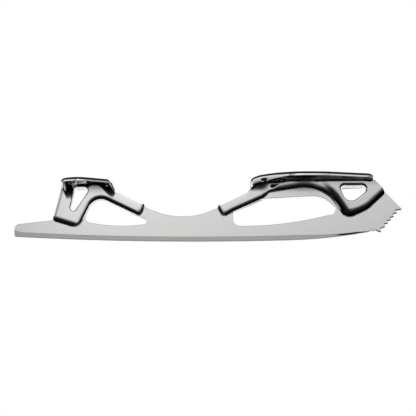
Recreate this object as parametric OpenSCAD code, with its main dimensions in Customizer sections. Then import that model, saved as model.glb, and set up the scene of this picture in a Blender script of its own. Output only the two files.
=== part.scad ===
// Figure skate blade: a hardened steel runner with a toe rake, brazed between
// the cheeks of a chromed heel mount and a chromed sole mount.
// Axes: X runs from the tail to the toe, Y across the blade, Z up to the boot.
// Z = 0 is the lowest point of the runner. All sizes are in millimetres.

/* [Runner] */
// Thickness of the steel runner
runner_t = 4; // [3.6:0.1:4.4]
// Radius of the main rocker along the bottom edge
rocker_r = 2438; // [2300:1:2600]
// Radius of the tighter spin rocker behind the toe rake
spin_r = 380; // [365:1:400]
// Depth of the side relief ground into each face
relief_depth = 0.15; // [0.08:0.01:0.25]
// Height of the side relief at the middle of the blade
relief_h = 3.2; // [2.4:0.1:4]
// Radius of the hollow ground along the bottom edge
hollow_r = 12.7; // [9.5:0.1:16]
// Width of that hollow
hollow_w = 3; // [2.4:0.1:3.2]
// Depth of the groove cut across the toe picks
crosscut = 0.8; // [0.4:0.1:1]

/* [Mounts] */
// Thickness of the mounting plates
plate_t = 2.6; // [2.2:0.1:3]
// Thickness of the cheeks that clasp the runner
cheek_t = 3.2; // [2.6:0.1:3.8]
// Rounding of the outer edges of the cheeks
edge_r = 1.8; // [1:0.1:2]
// Fillet between a cheek and the underside of its plate
fillet_r = 3.2; // [2:0.1:4]
// Thickness of the braze film between a cheek and the runner
braze_gap = 0.12; // [0.08:0.01:0.2]
// Depth of the braze below the top of the plates
seam_drop = 0.7; // [0.4:0.1:1]
// Height of the top of the sole plate
sole_top = 46.9; // [46.5:0.1:47.4]
// Height of the top of the heel plate
heel_top = 44.7; // [44.3:0.1:45.2]
// Greatest width of the sole plate
sole_w = 60.6; // [58:0.2:64]
// Greatest width of the heel plate
heel_w = 40.2; // [39.4:0.2:44]

/* [Screw holes] */
// Diameter of the screw holes
hole_d = 4.6; // [4:0.1:5]
// Spacing across the rear pair of holes in the sole plate
sole_rear_y = 24; // [23:0.5:26]
// Spacing across the pair at the ball of the foot
sole_ball_y = 46; // [42:0.5:47]
// Spacing across the middle pair
sole_mid_y = 44; // [40:0.5:46]
// Spacing across the front pair
sole_front_y = 28; // [25:0.5:32]
// Spacing across the rear pair of holes in the heel plate
heel_rear_y = 26; // [23:0.5:27]
// Spacing across the front pair in the heel plate
heel_front_y = 23; // [22.5:0.5:24]

/* [Hidden] */
$fn = 64;
face_y = runner_t / 2;
inner_y = face_y + braze_gap;
outer_y = inner_y + cheek_t;
sole_seat = sole_top - plate_t;
heel_seat = heel_top - plate_t;
// Stations along the length.
low_x = -10;
spin_x = 60;
rake_x = 120;
tail_x = -142.1;
tip_x = 142.33;
heel_back = -107.9;
heel_front = -71.9;
sole_back = 31.1;
sole_front = 120.7;
// The tongue at the back of the sole plate bends down to follow the boot.
tongue_x = 38;
tongue_drop = 1.6;
roll_x = tongue_x + 2;
sole_rear_x = 41;
sole_ball_x = 59.5;
sole_mid_x = 88;
sole_front_x = 111;
heel_rear_x = -99.5;
heel_front_x = -85.5;
spin_a = asin((spin_x - low_x) / rocker_r);
spin_c = [spin_x - spin_r * sin(spin_a), rocker_r * (1 - cos(spin_a)) + spin_r * cos(spin_a)];

// Height of the bottom edge at station x: the main rocker, then the spin rocker.
function rocker_z(x) = x <= spin_x
    ? rocker_r - sqrt(pow(rocker_r, 2) - pow(x - low_x, 2))
    : spin_c[1] - sqrt(pow(spin_r, 2) - pow(x - spin_c[0], 2));
rake_z = rocker_z(rake_x);

// Rounded outlines. A corner is [x, z, radius]; outlines run anticlockwise.
function unit(v) = v / norm(v);
function flat2(c) = [c[0], c[1]];
function arc_at(p, a, b, r, n) =
    let (u = unit(a - p), w = unit(b - p))
    let (half = acos(u * w) / 2)
    let (mid = p + unit(u + w) * r / sin(half))
    let (s = p + u * r / tan(half) - mid, e = p + w * r / tan(half) - mid)
    let (a0 = atan2(s[1], s[0]), turn = atan2(s[0] * e[1] - s[1] * e[0], s * e))
    [for (i = [0:n]) mid + r * [cos(a0 + turn * i / n), sin(a0 + turn * i / n)]];
function outline(c, n) = let (m = len(c)) [for (i = [0:m - 1]) each c[i][2] > 0
    ? arc_at(flat2(c[i]), flat2(c[(i + m - 1) % m]), flat2(c[(i + 1) % m]), c[i][2], n)
    : [flat2(c[i])]];
// The same outline moved inward by d, with the corner centres kept.
function normal(a, b) = let (d = unit(b - a)) [-d[1], d[0]];
function inset(c, d) = let (m = len(c)) [for (i = [0:m - 1])
    let (p = flat2(c[i]), a = flat2(c[(i + m - 1) % m]), b = flat2(c[(i + 1) % m]))
    let (na = normal(a, p), nb = normal(p, b))
    let (q = p + (na + nb) * d / (1 + na * nb))
    let (convex = na[0] * nb[1] - na[1] * nb[0] > 0)
    [q[0], q[1], convex ? c[i][2] - d : c[i][2] + d]];

// Triangles that fill an outline, one ear cut off at a time.
function cross2(a, b, c) = (b[0] - a[0]) * (c[1] - a[1]) - (b[1] - a[1]) * (c[0] - a[0]);
function is_ear(p, q, i) = let (m = len(q), ia = q[(i + m - 1) % m], ib = q[i], ic = q[(i + 1) % m])
    let (a = p[ia], b = p[ib], c = p[ic])
    cross2(a, b, c) > 1e-7 && len([for (k = q) if (k != ia && k != ib && k != ic
        && cross2(a, b, p[k]) > -1e-7 && cross2(b, c, p[k]) > -1e-7 && cross2(c, a, p[k]) > -1e-7) k]) == 0;
function ear(p, q, i) = is_ear(p, q, i) ? i : ear(p, q, i + 1);
function fill(p, q) = len(q) == 3 ? [q] : let (m = len(q), i = ear(p, q, 0))
    concat([[q[(i + m - 1) % m], q[i], q[(i + 1) % m]]], fill(p, [for (k = [0:m - 1]) if (k != i) q[k]]));

// Cheek outlines, seen from the side.
heel_cheek = [
    [-114.2, 14.9, 2.4], [-96, 9.3, 5], [-83.2, 35.1, 9], [-49.2, 18.6, 2.2], [-45.9, 26.3, 2.2],
    [-66.8, 36.9, 8], [-74, heel_seat + 5, 2.2], [-105.6, heel_seat + 5, 2.2]];
sole_cheek = [
    [10.2, 17.7, 2.4], [19, 22.4, 20], [39.3, 31.5, 6], [44.4, 36, 5], [83.8, 41.8, 27],
    [102, 16.2, 5], [117.3, 24, 25], [129.7, 35.7, 2.2], [128.9, 39.3, 4],
    [117.2, sole_seat + 5, 2.2], [46.8, sole_seat + 5, 2.2], [28, 35.8, 20], [6.2, 25.3, 2.2]];
heel_window = [[-104.9, 12.1, 2.2], [-86.2, 39.55, 2.6], [-98.5, 39.55, 3]];
sole_window = [[102.4, 25.5, 6.2], [122, 40.6, 3.15], [96.4, 40.6, 2.4]];

// The runner: its outer edge, then the two openings between the stanchions.
rocker = [for (i = [0:72]) let (x = -141 + i * (rake_x + 141) / 72) [x, rocker_z(x), 0]];
toe = [
    [rake_x + 3.6, rake_z + 0.5, 0.6], [rake_x + 4.7, rake_z - 0.25, 0.4], [126.9, 6.85, 0.15],
    [126.2, 9.1, 0.3], [129.9, 10.7, 0.15], [129.4, 12.3, 0.2], [132, 13.2, 0.15],
    [131.5, 14.7, 0.2], [134.2, 15.7, 0.15], [133.7, 17.2, 0.2], [136.4, 18.2, 0.15],
    [135.9, 19.8, 0.2], [138.7, 21, 0.15], [137.4, 22.6, 0.3], [tip_x, 23.7, 0.3]];
upper = [
    [133.2, 35, 6], [128.6, 36.6, 1], [128.6, 39.3, 4], [121.4, sole_seat + 1.2, 0.4],
    [sole_front, sole_seat + 1.2, 0], [sole_front, sole_seat, 0], [40.6, sole_seat, 1],
    [28.2, 35.4, 20], [6, 24, 15], [-17.6, 13.9, 55], [-43, 23.5, 15], [-66.9, 36.5, 8],
    [-70.9, heel_seat, 1], [-107, heel_seat, 1], [-114.1, 15.3, 2.5], [tail_x, 12.1, 4.6],
    [tail_x, rocker_z(tail_x), 1]];
heel_opening = [
    [-93.4, 14.6, 4.5], [-66, 10.2, 120], [-45.2, 12.5, 1.8], [-45.2, 16.6, 1], [-83.2, 35.1, 9]];
sole_opening = [
    [18.3, 10.9, 5], [57, 11.9, 240], [92.9, 20.2, 2.5], [93.9, 24.8, 1], [83.2, 33.9, 18],
    [39, 31.75, 15], [18.3, 22.4, 1.5]];
// The relief follows the bottom edge and narrows toward the toe.
function relief_at(x) = relief_h * (x < 60 ? 1 : 1 - 0.68 * (x - 60) / 58);
relief_top = [for (i = [0:30]) let (x = 118 - i * 257 / 30) [x, rocker_z(x) + relief_at(x)]];

// Half of each plate seen from above, from the braze line out to the rim.
function sole_plan() = let (k = sole_w / 60.6) [
    [sole_back, inner_y, 0], [sole_front, inner_y, 0], [sole_front, 21.9 * k, 6],
    [84, 31.1 * k, 60], [64, 31 * k, 40], [49, 25.5 * k, 25], [sole_back, 11.8 * k, 6]];
function heel_plan() = let (k = heel_w / 46.2) [
    [heel_back, inner_y, 0], [heel_front, inner_y, 0], [heel_front, 12.2 * k, 4],
    [-95.5, 25.4 * k, 14], [heel_back, 18 * k, 7]];
// Side profile of the sole plate between two heights measured from its top.
function sole_side(lo, hi) = [
    [sole_back, sole_top - tongue_drop + lo, 0], [tongue_x, sole_top + lo, 12],
    [sole_front, sole_top + lo, 0], [sole_front, sole_top + hi, 0],
    [tongue_x, sole_top + hi, 12], [sole_back, sole_top - tongue_drop + hi, 0]];
function heel_side(lo, hi) = [
    [heel_back, heel_top + lo, 0], [heel_front, heel_top + lo, 0],
    [heel_front, heel_top + hi, 0], [heel_back, heel_top + hi, 0]];

// A side outline given a thickness, from y = a to y = b.
module slab(a, b) {
    translate([0, b, 0]) rotate([90, 0, 0]) linear_extrude(b - a) children();
}

// A cheek: the outline lofted outward, its outer edge rolled over, cut off under its plate,
// which ends at x = end.
module cheek(c, seat, end) {
    n = 7;
    steps = [0, 30, 60, 90];
    ys = concat([inner_y], [for (t = steps) outer_y - edge_r * (1 - sin(t))]);
    ds = concat([0], [for (t = steps) edge_r * (1 - cos(t))]);
    rings = [for (d = ds) outline(inset(c, d), n)];
    m = len(rings[0]);
    pts = [for (k = [0:len(ys) - 1]) each [for (p = rings[k]) [p[0], ys[k], p[1]]]];
    walls = [for (k = [0:len(ys) - 2], i = [0:m - 1]) let (j = (i + 1) % m)
        each [[k * m + i, k * m + j, k * m + m + j], [k * m + i, k * m + m + j, k * m + m + i]]];
    top = (len(ys) - 1) * m;
    all = [for (i = [0:m - 1]) i];
    back = [for (t = fill(rings[0], all)) [t[2], t[1], t[0]]];
    front = [for (t = fill(rings[len(ys) - 1], all)) [top + t[0], top + t[1], top + t[2]]];
    difference() {
        polyhedron(pts, concat(walls, back, front));
        translate([tail_x, 0, seat]) cube([end - tail_x, outer_y + 1, 10]);
    }
}

// The inside corner between a cheek and its plate, from x = a to x = b.
module fillet(a, b, z) {
    translate([a, 0, 0]) rotate([90, 0, 90]) linear_extrude(b - a) difference() {
        translate([outer_y - 0.4, z - fillet_r]) square([fillet_r + 0.4, fillet_r + 0.4]);
        translate([outer_y + fillet_r, z - fillet_r]) circle(fillet_r);
    }
}

// The rolled edge along the braze line, where the sheet turns from plate to cheek.
function roll(s) = [for (a = [0:15:90]) [s * (inner_y + plate_t * (1 - cos(a))), plate_t * (sin(a) - 1)]];
module rolled_edge(a, b, z) {
    translate([a, 0, z]) rotate([90, 0, 90]) linear_extrude(b - a)
        polygon(concat(roll(1), [[inner_y + plate_t, 1], [inner_y - 1, 1], [inner_y - 1, -plate_t]]));
}

module hole(x, y, z) {
    translate([x, y, z - plate_t - 2.5]) cylinder(h = plate_t + 4, d = hole_d);
}

// One pressing of the sole mount: half the plate with its cheek, on the +Y side.
module sole_half() {
    difference() {
        union() {
            intersection() {
                linear_extrude(sole_top + 1) polygon(outline(sole_plan(), 12));
                slab(0, 40) polygon(outline(sole_side(-plate_t, 0), 8));
            }
            cheek(sole_cheek, sole_seat, sole_front);
            fillet(41, 119, sole_seat);
        }
        rolled_edge(roll_x, sole_front, sole_top);
        slab(0, 20) polygon(outline(sole_window, 10));
        hole(sole_rear_x, sole_rear_y / 2, sole_top);
        hole(sole_ball_x, sole_ball_y / 2, sole_top);
        hole(sole_mid_x, sole_mid_y / 2, sole_top);
        hole(sole_front_x, sole_front_y / 2, sole_top);
    }
}

// One pressing of the heel mount.
module heel_half() {
    difference() {
        union() {
            intersection() {
                linear_extrude(heel_top + 1) polygon(outline(heel_plan(), 12));
                slab(0, 40) polygon(outline(heel_side(-plate_t, 0), 8));
            }
            cheek(heel_cheek, heel_seat, tip_x);
            fillet(-105.5, -74, heel_seat);
        }
        rolled_edge(heel_back - 1, heel_front + 1, heel_top);
        slab(0, 20) polygon(outline(heel_window, 10));
        hole(heel_rear_x, heel_rear_y / 2, heel_top);
        hole(heel_front_x, heel_front_y / 2, heel_top);
    }
}

// Braze run into the valley along the top of a mount, from x = a to x = b; the
// sheet's edges are rolled from x = start on.
module seam(a, b, start, z) {
    intersection() {
        slab(-inner_y - plate_t, inner_y + plate_t) children();
        union() {
            translate([a, -inner_y, z - 10]) cube([b - a, 2 * inner_y, 12]);
            translate([start, 0, z]) rotate([90, 0, 90]) linear_extrude(b - start)
                polygon(concat(roll(1), [for (i = [6:-1:0]) roll(-1)[i]]));
        }
    }
}

// The film of braze between one cheek and the runner, on the +Y side.
module film(c, window) {
    slab(face_y, inner_y) difference() {
        intersection() {
            polygon(outline(c, 7));
            runner_outline();
        }
        polygon(outline(window, 10));
    }
}

module runner_outline() {
    polygon(outline(concat(rocker, toe, upper), 10));
}

// The hollow ground along the bottom edge, as a flat-bottomed groove of the same depth.
hollow_depth = hollow_r - sqrt(pow(hollow_r, 2) - pow(hollow_w / 2, 2));
module hollow() {
    slab(-hollow_w / 2, hollow_w / 2) polygon(concat([[tail_x - 1, -1], [118, -1]],
        [for (i = [0:60]) let (x = 118 - i * (119 - tail_x) / 60) [x, rocker_z(x) + hollow_depth]]));
}

module runner() {
    color("lightsteelblue") difference() {
        slab(-face_y, face_y) difference() {
            runner_outline();
            polygon(outline(heel_opening, 12));
            polygon(outline(sole_opening, 12));
            polygon(outline(heel_window, 10));
            polygon(outline(sole_window, 10));
        }
        for (s = [0, 1]) mirror([0, s, 0]) slab(face_y - relief_depth, face_y + 1)
            polygon(concat([[tail_x - 1, -1], [118, -1]], relief_top,
                [[tail_x - 1, relief_top[30][1] + 1.2]]));
        translate([129.9, 0, 10.7]) rotate([0, -47, 0]) rotate([45, 0, 0])
            translate([-1, -crosscut / sqrt(2), -crosscut / sqrt(2)])
            cube([16, sqrt(2) * crosscut, sqrt(2) * crosscut]);
        hollow();
    }
}

module sole_mount_left() { color("gainsboro") sole_half(); }
module sole_mount_right() { color("silver") mirror([0, 1, 0]) sole_half(); }
module heel_mount_left() { color("gainsboro") heel_half(); }
module heel_mount_right() { color("silver") mirror([0, 1, 0]) heel_half(); }
module sole_seam_braze() {
    color("goldenrod") seam(sole_back, sole_front, roll_x, sole_top)
        polygon(outline(sole_side(-plate_t, -seam_drop), 8));
}
module heel_seam_braze() {
    color("goldenrod") seam(heel_back, heel_front, heel_back, heel_top)
        polygon(outline(heel_side(-plate_t, -seam_drop), 8));
}
module sole_braze_left() { color("khaki") film(sole_cheek, sole_window); }
module sole_braze_right() { color("khaki") mirror([0, 1, 0]) film(sole_cheek, sole_window); }
module heel_braze_left() { color("khaki") film(heel_cheek, heel_window); }
module heel_braze_right() { color("khaki") mirror([0, 1, 0]) film(heel_cheek, heel_window); }

runner();
sole_mount_left();
sole_mount_right();
heel_mount_left();
heel_mount_right();
sole_seam_braze();
heel_seam_braze();
sole_braze_left();
sole_braze_right();
heel_braze_left();
heel_braze_right();
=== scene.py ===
# %% [markdown]
# # A figure skate blade
# The blade is a steel runner held by two chromed mounts. The CAD model gives every solid its place and
# size. This lesson dresses it: smooth pressings for the chrome, a ground runner with a true hollow, and
# the light that shows them. All lengths are in millimetres until a mesh is made.

# %% setup
import math

import bpy
import numpy as np
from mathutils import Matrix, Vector
from mathutils.geometry import tessellate_polygon


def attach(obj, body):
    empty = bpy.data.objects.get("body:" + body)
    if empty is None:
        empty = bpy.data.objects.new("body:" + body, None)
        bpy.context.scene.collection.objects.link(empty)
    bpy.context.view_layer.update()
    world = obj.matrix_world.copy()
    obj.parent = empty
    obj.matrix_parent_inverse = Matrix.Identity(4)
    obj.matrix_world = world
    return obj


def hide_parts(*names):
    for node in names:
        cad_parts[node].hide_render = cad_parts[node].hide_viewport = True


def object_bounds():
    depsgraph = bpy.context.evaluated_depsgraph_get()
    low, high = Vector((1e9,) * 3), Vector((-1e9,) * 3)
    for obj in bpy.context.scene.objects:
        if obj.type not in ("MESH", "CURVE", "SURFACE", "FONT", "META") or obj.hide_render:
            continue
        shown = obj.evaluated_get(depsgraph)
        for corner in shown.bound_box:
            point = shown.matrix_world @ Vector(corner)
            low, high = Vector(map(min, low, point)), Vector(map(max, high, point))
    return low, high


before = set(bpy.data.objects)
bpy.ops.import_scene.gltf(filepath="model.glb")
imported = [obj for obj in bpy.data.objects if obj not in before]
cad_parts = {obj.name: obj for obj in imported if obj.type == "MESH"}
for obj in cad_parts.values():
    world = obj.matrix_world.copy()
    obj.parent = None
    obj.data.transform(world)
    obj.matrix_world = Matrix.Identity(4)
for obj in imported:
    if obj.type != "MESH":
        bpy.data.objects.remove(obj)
cad_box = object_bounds()
MM = 0.001
print("CAD box, mm:", [[round(c / MM, 2) for c in corner] for corner in cad_box])

# %% [markdown]
# ## Sizes shared by the pieces
# The runner is a 4 mm plate. Each mount is pressed as a left and a right half, brazed to the runner's two
# faces, so a half starts at the braze line and its cheek ends at the outer face. The plates on top meet
# the boot.

# %% shared sizes
FACE_Y = 2.0                    # half the runner's gauge
INNER_Y = 2.12                  # braze line
OUTER_Y = 5.32                  # outer face of a cheek
PLATE_T = 2.6
SOLE_TOP, HEEL_TOP = 46.9, 44.7
SOLE_SEAT, HEEL_SEAT = SOLE_TOP - PLATE_T, HEEL_TOP - PLATE_T
SOLE_BACK, SOLE_FRONT = 31.1, 120.7
HEEL_BACK, HEEL_FRONT = -107.9, -71.9
TAIL_X, TIP_X = -142.1, 142.33
HOLE_R = 2.3
BALL_HOLE = (59.5, 23)
SOLE_HOLES = [(41, 12), BALL_HOLE, (88, 22), (111, 14)]
HEEL_HOLES = [(-99.5, 13), (-85.5, 11.5)]
CELL = 0.5
print("cell of the chrome meshes, mm:", CELL)

# %% [markdown]
# ## Rounded outlines
# Most of the blade is sheet and plate, cut to an outline whose corners are rounded. A corner is written
# as x, z and a radius. The first function turns corners into points, and the second moves an outline
# inward, or outward for a negative distance, without losing the rounds.

# %% outline helpers
ARC_SPAN, LEAST_TURN = 60.0, 0.4     # degrees: a wide arc turns by this over its radius, but not by less


def arc(p, a, b, r, step):
    u, w = (a - p) / np.linalg.norm(a - p), (b - p) / np.linalg.norm(b - p)
    half = math.acos(float(np.clip(u @ w, -1, 1))) / 2
    mid = p + (u + w) / np.linalg.norm(u + w) * r / math.sin(half)
    s, e = p + u * r / math.tan(half) - mid, p + w * r / math.tan(half) - mid
    turn = math.atan2(s[0] * e[1] - s[1] * e[0], s @ e)
    n = max(2, math.ceil(abs(turn) / math.radians(min(step, max(ARC_SPAN / r, LEAST_TURN)))))
    t = math.atan2(s[1], s[0]) + turn * np.arange(n + 1) / n
    return mid + r * np.stack([np.cos(t), np.sin(t)], 1)


def corner_points(corners, step):
    """The points at each corner of an outline: one, or an arc where the corner is rounded."""
    c = [np.array(k[:2], float) for k in corners]
    made = []
    for i, k in enumerate(corners):
        round_here = len(k) > 2 and k[2] > 0
        made.append(arc(c[i], c[i - 1], c[(i + 1) % len(c)], k[2], step) if round_here else c[i][None])
    return made


def outline(corners, step=5.0):
    return np.concatenate(corner_points(corners, step))


def inset(corners, d):
    c = [np.array(k[:2], float) for k in corners]
    moved = []
    for i, k in enumerate(corners):
        a, p, b = c[i - 1], c[i], c[(i + 1) % len(c)]
        na, nb = ((q[1] - o[1], o[0] - q[0]) for o, q in ((p, a), (b, p)))
        na, nb = np.array(na) / np.linalg.norm(p - a), np.array(nb) / np.linalg.norm(b - p)
        q = p + (na + nb) * d / (1 + na @ nb)
        outward = na[0] * nb[1] - na[1] * nb[0] > 0
        moved.append((q[0], q[1], max((k[2] if len(k) > 2 else 0) + (-d if outward else d), 0)))
    return moved


# %% [markdown]
# ## Side outlines of the mounts
# The heel mount stands on one leg with a window and reaches forward with an arm. The sole mount has an
# arm to the back, an arch, and a leg with a window in front. On the real chrome the lower edges are
# rolled over hard and the upper edges only a little. So beside its cheek each mount has outlines that keep
# one edge each, the foot, the arch, the arm's end or the upper edge, with the rest moved out of the way.

# %% side outlines
OVER = 5.0          # a cheek's outline runs on above the seat, into the plate
HEEL_CHEEK = [
    (-114.2, 14.9, 2.4), (-95, 9, 8), (-82.75, 33.8, 9), (-49.6, 17.7, 3.5), (-45.9, 26.3, 2.2),
    (-69, 37.95, 5), (-72.2, HEEL_SEAT + OVER, 0.5), (-105.6, HEEL_SEAT + OVER, 2.2)]
HEEL_FOOT = [(-168.8, 31.7), (-23.2, -13.1), (-23.2, 80), (-168.8, 80)]
HEEL_ARCH = [(-121.9, -45.2), (-82.75, 33.8, 9), (-15.2, 1), (-15.2, 80), (-180, 80), (-180, -45.2)]
HEEL_ARM_END = [(-62.4, -12.2), (-22.8, 80.2), (-180, 80.2), (-180, -12.2)]
HEEL_UPPER = [
    (-125, -26), (-10, -26), (-10, 8.2), (-69, 37.95, 6), (-78.7, 67), (-100.3, 67)]
HEEL_WINDOW = [(-103.9, 12.6, 2.2), (-86.2, 39.4, 2.6), (-97.7, 39.4, 3)]

SOLE_CHEEK = [
    (10.6, 17.1, 4.5), (19.3, 21.9, 20), (40.4, 31.4, 6), (45.2, 36, 5), (83.6, 41.8, 27),
    (100.8, 15.5, 9), (117.5, 23.3, 25), (130, 35.1, 2.2), (127.9, 39.1, 5),
    (117.2, SOLE_SEAT + OVER, 2.2), (32.4, SOLE_SEAT + OVER), (32.4, 38.9, 1.5), (28, 35.8, 10),
    (6.2, 25.3, 2.2)]
SOLE_ARCH = [
    (-25.4, -2.5), (19.3, 21.9, 20), (40.4, 31.4, 6), (45.2, 36, 5), (83.6, 41.8, 27), (117.1, -9.4),
    (180, -9.4), (180, 80), (-25.4, 80)]
SOLE_FOOT = [(55.8, -5.5), (117.5, 23.3, 25), (176.8, 78.7), (-40, 80), (-40, -5.5)]
SOLE_ARM_END = [(26.2, -12.7), (180, -12.7), (180, 80), (-22.6, 80)]
SOLE_UPPER = [
    (-26.5, -26), (164, -26), (164, 9.3), (104.7, 60), (30.5, 60), (30.5, 37, 4), (-26.5, 9.5)]
SOLE_WINDOW = [(102.4, 25.5, 6.2), (122, 40.6, 3.15), (96.4, 40.6, 2.4)]

HEEL_PLAN = [
    (HEEL_BACK, -20), (HEEL_FRONT, -20), (HEEL_FRONT, 10.6, 4), (-95.5, 22.1, 14), (HEEL_BACK, 15.66, 7)]
HEEL_WEB_PLAN = [
    (HEEL_BACK, -20), (HEEL_FRONT + 5, -20), (HEEL_FRONT + 5, 4.5), (HEEL_FRONT - 0.5, 10.3, 3),
    (-95.5, 22.1, 14), (HEEL_BACK, 15.66, 7)]
SOLE_PLAN = [
    (SOLE_BACK, -20), (SOLE_FRONT, -20), (SOLE_FRONT, 21.9, 6), (84, 31.1, 60), (64, 31, 40),
    (49, 25.5, 25), (SOLE_BACK, 11.8, 6)]
print("points of the heel and sole cheeks:", len(outline(HEEL_CHEEK)), len(outline(SOLE_CHEEK)))

# %% [markdown]
# ## Chrome as a field
# A mirror shows every dent in its mesh, and the mounts have soft fillets where cheek and plate meet.
# Booleans and bevels would leave creases there. Instead each mount half is a field: a number for every
# point, negative inside the metal, with its slope. Simple fields are combined with rounds and fillets,
# and the mesh is then laid exactly where the field is zero, with the slope as its normal. Sums and
# products of fields carry their slopes along, so a form can be written as a formula.

# %% distance to an outline
CHUNK = 6000        # points at a time, to save memory


def outline_field(px, pz, poly):
    """Distance of points to an outline, negative inside, and the direction in which it grows."""
    a, b = poly, np.roll(poly, -1, 0)
    ab = b - a
    size = (ab ** 2).sum(1)
    dist, gx, gz = (np.empty(len(px)) for _ in range(3))
    for i in range(0, len(px), CHUNK):
        part = slice(i, i + CHUNK)
        x, z = px[part, None], pz[part, None]
        ax, az = x - a[:, 0], z - a[:, 1]
        t = np.clip((ax * ab[:, 0] + az * ab[:, 1]) / size, 0, 1)
        ex, ez = ax - t * ab[:, 0], az - t * ab[:, 1]
        near = np.argmin(ex ** 2 + ez ** 2, 1)
        rows = np.arange(len(near))
        ex, ez = ex[rows, near], ez[rows, near]
        with np.errstate(divide="ignore", invalid="ignore"):
            cut = a[:, 0] + az * ab[:, 0] / ab[:, 1]
        odd = (((a[:, 1] > z) != (b[:, 1] > z)) & (x < cut)).sum(1) % 2
        sign = np.where(odd == 1, -1.0, 1.0)
        d = np.maximum(np.hypot(ex, ez), 1e-9)
        dist[part], gx[part], gz[part] = d * sign, ex / d * sign, ez / d * sign
    return dist, gx, gz


# %% fields
class Field:
    """Values at points, with slopes along x, y and z, or None where only the values are wanted."""

    def __init__(self, v, g=None):
        self.v, self.g = v, g

    def mapped(self, v, rate):
        """This field after a function that has the values v and grows at the given rate."""
        return Field(v, None if self.g is None else rate[:, None] * self.g)

    def __neg__(self):
        return Field(-self.v, None if self.g is None else -self.g)

    def __add__(self, other):
        if not isinstance(other, Field):
            return Field(self.v + other, self.g)
        return Field(self.v + other.v, None if self.g is None else self.g + other.g)

    def __sub__(self, other):
        return self + -other

    def __rsub__(self, number):
        return -self + number

    def __mul__(self, other):
        if not isinstance(other, Field):
            return Field(self.v * other, None if self.g is None else self.g * other)
        g = None if self.g is None else other.v[:, None] * self.g + self.v[:, None] * other.g
        return Field(self.v * other.v, g)

    def __truediv__(self, number):
        return self * (1 / number)

    __radd__, __rmul__ = __add__, __mul__


# %% how fields combine
def choose(first, a, b):
    g = None if a.g is None else np.where(first[:, None], a.g, b.g)
    return Field(np.where(first, a.v, b.v), g)


def either(a, b):
    return choose(a.v < b.v, a, b)


def both(a, b):
    return choose(a.v > b.v, a, b)


def both_soft(a, b, k):
    """What is in both, with the corner between them worn away over a distance k."""
    near = np.maximum(k - np.abs(a.v - b.v), 0) / k
    share = np.where(a.v > b.v, 1 - near / 2, near / 2)
    v = np.maximum(a.v, b.v) + near ** 2 * k / 4
    g = None if a.g is None else share[:, None] * a.g + (1 - share)[:, None] * b.g
    return Field(v, g)


def both_rounded(a, b, r):
    """What is in both, with the edge between them rounded to radius r."""
    u, w = np.maximum(a.v + r, 0), np.maximum(b.v + r, 0)
    s = np.maximum(np.hypot(u, w), 1e-9)
    sharp = both(a, b)
    v = np.minimum(sharp.v, -r) + np.where((u > 0) | (w > 0), s, 0)
    g = None
    if a.g is not None:
        soft = (u[:, None] * a.g + w[:, None] * b.g) / s[:, None]
        g = np.where(((u > 0) | (w > 0))[:, None], soft, sharp.g)
    return Field(v, g)


def either_filleted(a, b, r):
    """What is in either, with the corner between them filled to the radius field r."""
    u, w = np.maximum(r.v - a.v, 0), np.maximum(r.v - b.v, 0)
    s = np.maximum(np.hypot(u, w), 1e-9)
    sharp = either(a, b)
    near = (u > 0) | (w > 0)
    v = np.where(near, r.v - s, sharp.v)
    g = None
    if a.g is not None:
        soft = r.g * (1 - (u + w) / s)[:, None] + (u[:, None] * a.g + w[:, None] * b.g) / s[:, None]
        g = np.where(near[:, None], soft, sharp.g)
    return Field(v, g)


def crown(y, rolls, rise):
    """A face at OUTER_Y that rolls over, along an ellipse, within a reach of the edges of outlines."""
    rise = np.broadcast_to(rise, y.v.shape)
    w = np.maximum(y.v - (OUTER_Y - rise), 0) / rise
    total, slope = w ** 2, None if y.g is None else (w / rise)[:, None] * y.g
    for edge, reach in rolls:
        u = np.maximum(reach + edge.v, 0) / reach
        total = total + u ** 2
        if slope is not None:
            slope = slope + (u / reach)[:, None] * edge.g
    s = np.maximum(np.sqrt(total), 1e-9)
    return Field(rise * (s - 1), None if slope is None else (rise / s)[:, None] * slope)


# %% where the fields are asked for
class Spots:
    """Points at which fields are evaluated: a full grid, or loose points with slopes."""

    def __init__(self, xs, ys, zs, grid):
        self.grid, self.axes = grid, (xs, ys, zs)
        x, y, z = np.meshgrid(xs, ys, zs, indexing="ij") if grid else (xs, ys, zs)
        self.shape = x.shape
        self.x, self.y, self.z = (self.own(c.ravel(), k) for k, c in enumerate((x, y, z)))

    def own(self, v, axis):
        g = None if self.grid else np.eye(3)[axis] * np.ones((len(v), 1))
        return Field(v, g)

    def of(self, v, gx=0.0, gy=0.0, gz=0.0):
        """A field with the given values and slopes."""
        g = None if self.grid else np.stack([np.broadcast_to(k, v.shape) for k in (gx, gy, gz)], 1)
        return Field(v, g)

    def outline(self, corners, other):
        """Distance to an outline in x and z (other = 2), or in x and y (other = 1)."""
        poly = outline(corners)
        if not self.grid:
            d, ga, gb = outline_field(self.x.v, (self.y, self.z)[other - 1].v, poly)
            return self.of(d, ga, *((gb, 0.0) if other == 1 else (0.0, gb)))
        a, b = np.meshgrid(self.axes[0], self.axes[other], indexing="ij")
        d = outline_field(a.ravel(), b.ravel(), poly)[0].reshape(a.shape)
        d = d[:, None, :] if other == 2 else d[:, :, None]
        return self.of(np.broadcast_to(d, self.shape).ravel())

    def side(self, corners):
        return self.outline(corners, 2)

    def plan(self, corners):
        return self.outline(corners, 1)


# %% curves made of fields
def smooth_step(v, a, b):
    """A smooth step from 0 at a to 1 at b."""
    t = np.clip((v - a) / (b - a), 0, 1)
    return t * t * (3 - 2 * t)


def ease(f, a, b):
    """The smooth step of a field."""
    t = np.clip((f.v - a) / (b - a), 0, 1)
    return f.mapped(smooth_step(f.v, a, b), 6 * t * (1 - t) / (b - a))


def soft_ramp(f, k):
    """Zero where a field is below 0 and the field itself above, with a bend rounded over k."""
    s = np.sqrt(f.v ** 2 + k ** 2)
    return f.mapped((f.v + s) / 2, (1 + f.v / s) / 2)


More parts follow.
